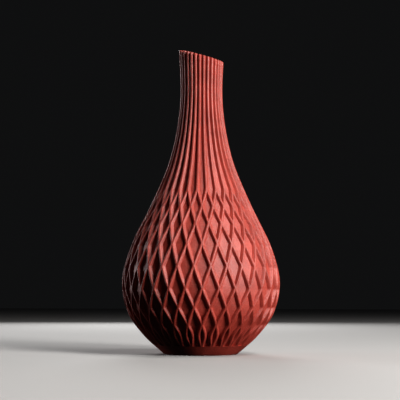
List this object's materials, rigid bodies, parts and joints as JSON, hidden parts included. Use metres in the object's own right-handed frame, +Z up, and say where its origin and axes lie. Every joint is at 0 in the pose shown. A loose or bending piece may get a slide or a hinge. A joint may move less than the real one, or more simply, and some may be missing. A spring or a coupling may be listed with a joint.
{
  "type": "printed bottle vase",
  "caption": "Tall 3D-printed bottle vase with a ribbed neck, a belly of crossing ribs around diamond pits, and a rim cut on a slant.",
  "frame": {"origin": "centre of the underside of the foot", "axes": "+Z up along the vase's axis; the front faces -Y and +X is to its right"},
  "size_m": [0.1999, 0.1998, 0.3951],
  "materials": {
    "printed_plastic": "matt terracotta printed plastic with fine layer lines"
  },
  "bodies": {
    "root": {"vase": "printed_plastic"}
  },
  "joints": []
}
